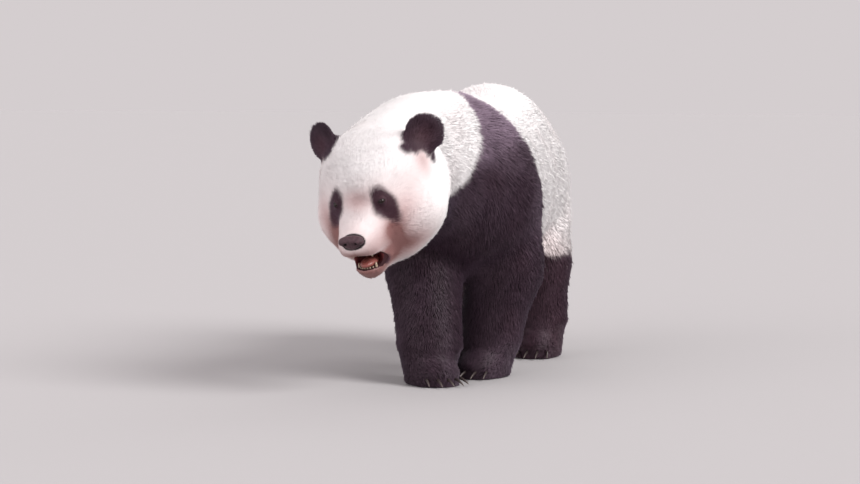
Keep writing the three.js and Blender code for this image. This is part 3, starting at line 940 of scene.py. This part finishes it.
def fur_material(name, look):
    material, tree, shader = new_material(name, Sheen_Roughness=0.5, Specular_IOR_Level=0.3, **look)
    paint(tree, shader, coat_colour(tree, attribute(tree, "along"), attribute(tree, "tone")))
    return material


BARE = (0.018, 0.011, 0.013)
LIP = (0.034, 0.008, 0.011)
LINING = ((0.055, 0.008, 0.011), (0.13, 0.022, 0.024))


def skin_material():
    """The roots of the hair, bare lids, soles and lips, and the wet lining of the mouth."""
    material, tree, shader = new_material("skin", Specular_IOR_Level=0.25)
    fine = noise(tree, 420)
    tone = maths(tree, "SUBTRACT", noise(tree, 60), 0.5)
    coat = coat_colour(tree, maths(tree, "MULTIPLY", fine, 0.9), tone)
    bare = attribute(tree, "bare")
    coat = mixed(tree, bare, coat, BARE)
    coat = mixed(tree, attribute(tree, "lip"), coat, LIP)
    flesh = colour_ramp(tree, noise(tree, 90), (0.3, LINING[0]), (0.7, LINING[1]))
    lining = attribute(tree, "lining")
    paint(tree, shader, mixed(tree, lining, coat, flesh))
    wet = maths(tree, "MULTIPLY", maths(tree, "MAXIMUM", bare, lining), 0.33)
    tree.links.new(maths(tree, "SUBTRACT", 0.75, wet), shader.inputs["Roughness"])
    bump(tree, shader, fine, 0.5, 0.002)
    return material


FUR = {colour: fur_material(f"{colour}_fur", look) for colour, look in FUR_LOOKS.items()}


# ---- Putting the skin and the coat together

def unwrap(piece):
    bpy.context.view_layer.objects.active = piece
    piece.select_set(True)
    bpy.ops.object.mode_set(mode="EDIT")
    bpy.ops.mesh.select_all(action="SELECT")
    piece.data.uv_layers.new(name="OFBake")
    bpy.ops.uv.smart_project(angle_limit=math.radians(66), island_margin=0.002)
    bpy.ops.object.mode_set(mode="OBJECT")
    piece.select_set(False)


skin_mesh = make_skin()
eyes = find_eyes(skin_mesh)
finish_face(skin_mesh)
skin = new_piece("skin", skin_mesh)
unwrap(skin)

edges = read(skin_mesh.edges, "vertices", 2, int)
skin_points = points_of(skin_mesh)
skin_owners = nearest_nodes(skin_points)
skin_normals = unit(normals_of(skin_mesh))
shares = part_shares(edges, skin_owners)
here = in_head(skin_points)
mouth_gap = beside_mouth(here)
at_corner = smoothstep(-182, -148, here[:, 1]) * smoothstep(-118, -138, here[:, 2])
lip_width = mix(3.0, 12.0, at_corner)
opening = np.minimum(*[beside_opening(*in_eye(eye, here)[:, :2].T) for eye in eyes])
opening = np.where(to_nearer_eye(here) < 20, opening, 20)
on_sole = smoothstep(-0.5, -0.8, skin_normals[:, 2]) * smoothstep(0.016, 0.010, skin_points[:, 2])
to_nose = norm((here - NOSE_AT) / (34, 24, 20))
bare = np.maximum.reduce([smoothstep(2.4, 1.4, opening), on_sole, smoothstep(1.22, 1.08, to_nose)])
hairy = (mouth_gap > 0.8 * lip_width) * (opening > 1.6) * (on_sole < 0.5) * (to_nose > 1)
fields = {
    "hairy": hairy.astype(float),
    "normal": unit(spread(skin_normals, edges, 2)),
    "flow": lie_of_coat(skin_points, unit(spread(skin_normals, edges, 4)), edges, skin_owners),
    **coat_fields(skin_points, edges, skin_owners),
    **shares,
}
write_fields(
    skin_mesh,
    blackness=smoothstep(-SOFT_EDGE, SOFT_EDGE, blackness(skin_points, shares)),
    stain=staining_and_painted_light(skin_points),
    fade=fading_and_sheen(skin_points, shares),
    lining=smoothstep(1.5, -0.5, mouth_gap),
    lip=smoothstep(lip_width + 2, lip_width, mouth_gap),
    bare=bare,
)
skin_mesh.shade_smooth()
skin_mesh.materials.append(skin_material())
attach(skin, "root")
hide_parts(*[name for name in FLESH if not name.startswith("eye")])
grow_coat(skin_mesh, fields, skin_owners)


# ---- Eyes, nose, tongue, teeth and claws

def head_matrix(place=(0, 0, 0), axes=np.eye(3)):
    """Where a piece modelled in metres sits, from its place in mm and axes in the head's space."""
    matrix = Matrix((HEAD_AXES @ axes).tolist()).to_4x4()
    matrix.translation = Vector(from_head(place))
    return matrix


def ball(segments, rings, radii):
    """A mesh for an ellipsoid with its poles along Z, and where its points belong, in mm."""
    shape = bmesh.new()
    bmesh.ops.create_uvsphere(shape, u_segments=segments, v_segments=rings, radius=1)
    points = np.array([v.co for v in shape.verts]) * radii
    mesh = bpy.data.meshes.new("ball")
    shape.to_mesh(mesh)
    shape.free()
    return mesh, points


def finish_piece(name, mesh, material, replaced, matrix=Matrix()):
    mesh.shade_smooth()
    mesh.materials.append(material)
    piece = new_piece(name, mesh)
    piece.matrix_world = matrix
    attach(piece, "root")
    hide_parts(*replaced)


def joined(name, shapes):
    """One mesh from pairs of points and faces, each face a list of its corners."""
    points, faces = [], []
    for shape_points, shape_faces in shapes:
        faces += [[corner + len(points) for corner in face] for face in shape_faces]
        points += shape_points.tolist()
    mesh = bpy.data.meshes.new(name)
    mesh.from_pydata(points, [], faces)
    mesh.update()
    return mesh


HORN_SIDES = 12


def horn(points, radii, flat=1.0):
    """The points and faces of a closed tube through the points that narrows as its radii do."""
    points = np.asarray(points, float)
    along = unit(np.gradient(points, axis=0))
    across = unit(np.cross(along, (0.1, 0.2, 1.0)))
    over = np.cross(across, along)
    turn = np.linspace(0, 2 * math.pi, HORN_SIDES, endpoint=False)
    ring = across[:, None] * np.cos(turn)[:, None] * flat + over[:, None] * np.sin(turn)[:, None]
    rings = points[:, None] + ring * np.asarray(radii)[:, None, None]
    number = np.arange(len(points) * HORN_SIDES).reshape(-1, HORN_SIDES)
    onwards = np.roll(number, -1, axis=1)
    sides = np.stack([number[:-1], onwards[:-1], onwards[1:], number[1:]], -1).reshape(-1, 4)
    ends = [number[0, ::-1].tolist(), number[-1].tolist()]
    return rings.reshape(-1, 3), sides.tolist() + ends


IRIS_RADIUS = 6.8
PUPIL = (1.5, 3.6)  # half the width and height of the slit
CORNEA = 0.9  # how far it bulges


def eye_material():
    material, tree, shader = new_material("eye", Roughness=0.04, IOR=1.4, Specular_IOR_Level=0.4)
    place = add(tree, "TexCoord").outputs["Object"]

    def ring(half_width, half_height):
        """1 on an ellipse round the middle of the eye, less inside it and more outside."""
        sizes = {0: place, 1: (1 / half_width / MM, 1 / half_height / MM, 0)}
        scaled = add(tree, "VectorMath", sizes, operation="MULTIPLY").outputs[0]
        return add(tree, "VectorMath", {0: scaled}, operation="LENGTH").outputs["Value"]

    streaks = noise(tree, 900, 2)
    streaks = maths(tree, "MULTIPLY", streaks, 0.08)
    radius = maths(tree, "ADD", ring(IRIS_RADIUS, IRIS_RADIUS), streaks)
    iris = colour_ramp(
        tree, radius,
        (0.2, (0.022, 0.008, 0.006)), (0.7, (0.014, 0.005, 0.004)), (0.95, (0.005, 0.002, 0.002)),
        (1.1, (0.032, 0.018, 0.018)),
    )
    pupil = colour_ramp(tree, ring(*PUPIL), (0.9, (0, 0, 0)), (1.0, (1, 1, 1)))
    paint(tree, shader, mixed(tree, 1.0, iris, pupil, "MULTIPLY"))
    return material


def make_eyes():
    material = eye_material()
    for name, eye in zip(SIDES, eyes):
        mesh, points = ball(48, 32, EYE_RADIUS)
        from_middle = norm(points[:, :2])
        points[:, 2] += CORNEA * smoothstep(IRIS_RADIUS + 1, 0, from_middle) * (points[:, 2] > 0)
        move_points(mesh, points * MM)
        axes = np.stack([eye.across * eye.side, eye.up, eye.out], 1)
        matrix = head_matrix(eye.centre, axes)
        finish_piece(f"eyeball_{name}", mesh, material, [f"eye_{name}"], matrix)


NOSE_LOBES = (
    ((0, 1, 5), (35, 14, 12)),
    ((0, 2, -7), (23, 12, 12)),
    ((0, 4, -14), (11, 9, 8)),
    ((20, 0, 1), (15, 13, 11)),
    ((-20, 0, 1), (15, 13, 11)),
)


def nose_material():
    material, tree, shader = new_material("nose", Roughness=0.45, Specular_IOR_Level=0.35)
    place = add(tree, "TexCoord").outputs["Object"]
    pebbles = add(tree, "TexVoronoi", {"Vector": place, "Scale": 620.0})
    shade = colour_ramp(
        tree, noise(tree, 120), (0.3, (0.036, 0.016, 0.021)), (0.75, (0.090, 0.043, 0.055))
    )
    # painted shade: near black where the nostrils are deep
    paint(tree, shader, mixed(tree, attribute(tree, "deep"), shade, (0.004, 0.002, 0.002)))
    bump(tree, shader, pebbles.outputs["Distance"], 0.8, 0.0008)
    return material


def make_nose():
    lobes = []
    for centre, radii in NOSE_LOBES:
        lobe, points = ball(32, 20, radii)
        lobes.append(((points + centre) * MM, [list(face.vertices) for face in lobe.polygons]))
    mesh = remeshed(joined("nose_lobes", lobes), 1.2 * MM)
    relax(mesh, 8, 1.0)
    points = points_of(mesh) / MM
    x, y, z = np.abs(points[:, 0]), points[:, 1], points[:, 2]
    front = smoothstep(4, -4, y)
    hole = np.exp(-((x - 15) / 4.6) ** 2 - ((z + 3 + 0.25 * (x - 15)) / 3.6) ** 2) * front
    slit = np.exp(-((z + 7 - 0.15 * (x - 24)) / 1.7) ** 2)
    slit *= smoothstep(15, 21, x) * smoothstep(37, 30, x)
    middle = np.exp(-(x / 1.3) ** 2) * smoothstep(-2, -10, z) * front
    deep = 9.0 * hole + 4.0 * slit * smoothstep(12, 4, y)
    points[:, 1] += deep + 1.5 * middle
    move_points(mesh, points * MM)
    # how deep the nostrils are, which the nose's material paints as shade
    write_fields(mesh, deep=smoothstep(2.0, 6.5, deep))
    finish_piece("nose_leather", mesh, nose_material(), ["nose"], head_matrix(NOSE_AT))


def wet_material(name, dark, light, scale):
    material, tree, shader = new_material(name, Roughness=0.32)
    grain = noise(tree, scale)
    paint(tree, shader, colour_ramp(tree, grain, (0.3, dark), (0.7, light)))
    bump(tree, shader, grain, 0.4, 0.001)
    return material


def make_tongue():
    mesh, points = ball(36, 24, (22, 42, 12))
    x, y, z = points.T
    groove = 2.0 * np.exp(-(x / 3.5) ** 2) * (z > 0) * smoothstep(-40, -25, y)
    points[:, 2] = z - groove + 3 * smoothstep(10, -40, y)
    move_points(mesh, points * MM)
    flesh = wet_material("tongue", (0.20, 0.055, 0.045), (0.33, 0.105, 0.090), 700)
    place = head_matrix(MOUTH_AT + (0, 39, -15))
    finish_piece("tongue_flesh", mesh, flesh, ["tongue"], place)


Tooth = namedtuple("Tooth", "height radius lean bluntness")
CANINE = Tooth(12, 3.4, 3.0, 1.6)
INCISOR = Tooth(3.2, 1.9, 1.0, 4)
TOOTH_ROWS = (  # which way each points, its left canine's place in the mouth, its bow forwards
    ("lower", 1, (24, 19, -22), 12),
    ("upper", -1, (26, 4, 22), 14),
)


def make_teeth():
    """Canines, and a row of small front teeth between them, in the gums."""
    ivory = wet_material("ivory", (0.30, 0.22, 0.15), (0.46, 0.36, 0.27), 300)
    for row, up, first, arc in TOOTH_ROWS:
        shapes = []
        for x in np.linspace(-1, 1, 8):
            tooth = CANINE if abs(x) == 1 else INCISOR
            root = MOUTH_AT + (first[0] * x, first[1] - arc * (1 - x * x), first[2])
            t = np.linspace(-0.25, 1, 9)[:, None]
            line = root + t * (0, 0, tooth.height * up) + t ** 2 * (0, tooth.lean, 0)
            taper = np.sqrt(np.clip(1 - np.clip(t[:, 0], 0, 1) ** tooth.bluntness, 0.02, 1))
            points, faces = horn(line, tooth.radius * taper)
            shapes.append((points * MM, faces))
        mesh = joined(f"teeth_{row}", shapes)
        canines = [f"canine_{row}_{side}" for side in SIDES]
        finish_piece(f"teeth_{row}", mesh, ivory, canines, head_matrix())


CLAW_RADIUS = 4.4
CLAW_ARCH = 4  # how much it is bowed up at its middle
CLAW_ROOT = 8  # how far it reaches back into the paw


def claw_material():
    material, tree, shader = new_material("claw", Roughness=0.38)
    length = attribute(tree, "along")
    horn_colour = colour_ramp(
        tree, length,
        (0, (0.020, 0.014, 0.014)), (0.6, (0.045, 0.033, 0.031)), (1, (0.12, 0.095, 0.085)),
    )
    paint(tree, shader, horn_colour)
    bump(tree, shader, noise(tree, 500), 0.3, 0.0006)
    return material


def make_claws():
    material = claw_material()
    soles = {mount["name"]: mount["pos_m"] for mount in frame["record"]["mounts"]}
    for leg in LEGS:
        middle = np.array(soles[leg + "_sole"])
        nodes = [f"{leg}_claw_{number}" for number in range(1, 6)]
        shapes, shares = [], []
        for node in nodes:
            points = points_of(frame["nodes"][node].data)
            reach = norm((points - middle)[:, :2])
            tip = points[reach.argmax()]
            root = points[reach < reach.min() + 4 * MM].mean(0)
            root = root - unit((tip - root) * (1, 1, 0)) * CLAW_ROOT * MM
            t = np.linspace(0, 1, 12)[:, None]
            line = mix(root, tip, t) + 4 * t * (1 - t) * (0, 0, CLAW_ARCH * MM)
            radii = CLAW_RADIUS * MM * np.sqrt(np.clip(1 - t[:, 0] ** 1.7, 0.01, 1))
            shapes.append(horn(line, radii, flat=0.72))
            shares.append(np.repeat(t[:, 0], HORN_SIDES))
        mesh = joined(f"claws_{leg}", shapes)
        write_fields(mesh, along=np.concatenate(shares))
        finish_piece(f"claws_{leg}", mesh, material, nodes)


make_eyes()
make_nose()
make_tongue()
make_teeth()
make_claws()


# ---- Floor, light and camera

FLOOR_SIZE = 40
WORLD_COLOUR = (0.66, 0.615, 0.625)
Sun = namedtuple("Sun", "place softness power colour")  # it shines from the side of its place
SUNS = {
    "key": Sun((1.7, -0.7, 1.45), 32, 3.05, (1, 0.98, 0.97)),
    "fill": Sun((-1.7, -2.1, 0.9), 60, 1.35, (1, 0.94, 0.95)),
    "back": Sun((0.3, 2.4, 1.0), 60, 1.2, (1, 0.98, 0.97)),
}


def floor_colour():
    """The grey that looks like the background when all the lights fall on it."""
    light = np.array(WORLD_COLOUR)
    for sun in SUNS.values():
        height = Vector(sun.place).normalized().z
        light = light + np.array(sun.colour) * sun.power * height / math.pi
    return (*(WORLD_COLOUR / light), 1)


def make_floor():
    corners = np.array([(-1, -1, 0), (1, -1, 0), (1, 1, 0), (-1, 1, 0)]) * FLOOR_SIZE / 2
    mesh = mesh_from("floor", corners, np.arange(4), 4)
    look = dict(Base_Color=floor_colour(), Roughness=0.9, Specular_IOR_Level=0)
    mesh.materials.append(new_material("floor", **look)[0])
    new_piece("floor", mesh)


def make_lights():
    for name, sun in SUNS.items():
        data = bpy.data.lights.new(name, "SUN")
        data.angle = math.radians(sun.softness)
        data.energy = sun.power
        data.color = sun.colour
        light = new_piece(name, data)
        light.rotation_euler = Vector(sun.place).to_track_quat("Z", "Y").to_euler()
    world = bpy.data.worlds.new("studio")
    world.use_nodes = True
    world.node_tree.nodes["Background"].inputs["Color"].default_value = (*WORLD_COLOUR, 1)
    bpy.context.scene.world = world
    bpy.context.scene.view_settings.view_transform = "Standard"


CAMERA_AZIMUTH = math.radians(10)  # from straight ahead towards the animal's left
CAMERA_ELEVATION = math.radians(4.5)
CAMERA_DISTANCE = 8.0
CAMERA_TARGET = Vector((-0.0326, -0.1057, 0.36))
CAMERA_LENS = 123.9  # on a sensor 36 mm wide


def make_camera():
    data = bpy.data.cameras.new("camera")
    data.lens = CAMERA_LENS
    camera = new_piece("camera", data)
    turn = Matrix.Rotation(CAMERA_AZIMUTH, 3, "Z") @ Matrix.Rotation(-CAMERA_ELEVATION, 3, "X")
    back = turn @ Vector((0, -1, 0))
    camera.location = CAMERA_TARGET + back * CAMERA_DISTANCE
    camera.rotation_euler = (-back).to_track_quat("-Z", "Y").to_euler()
    bpy.context.scene.camera = camera


make_floor()
make_lights()
make_camera()
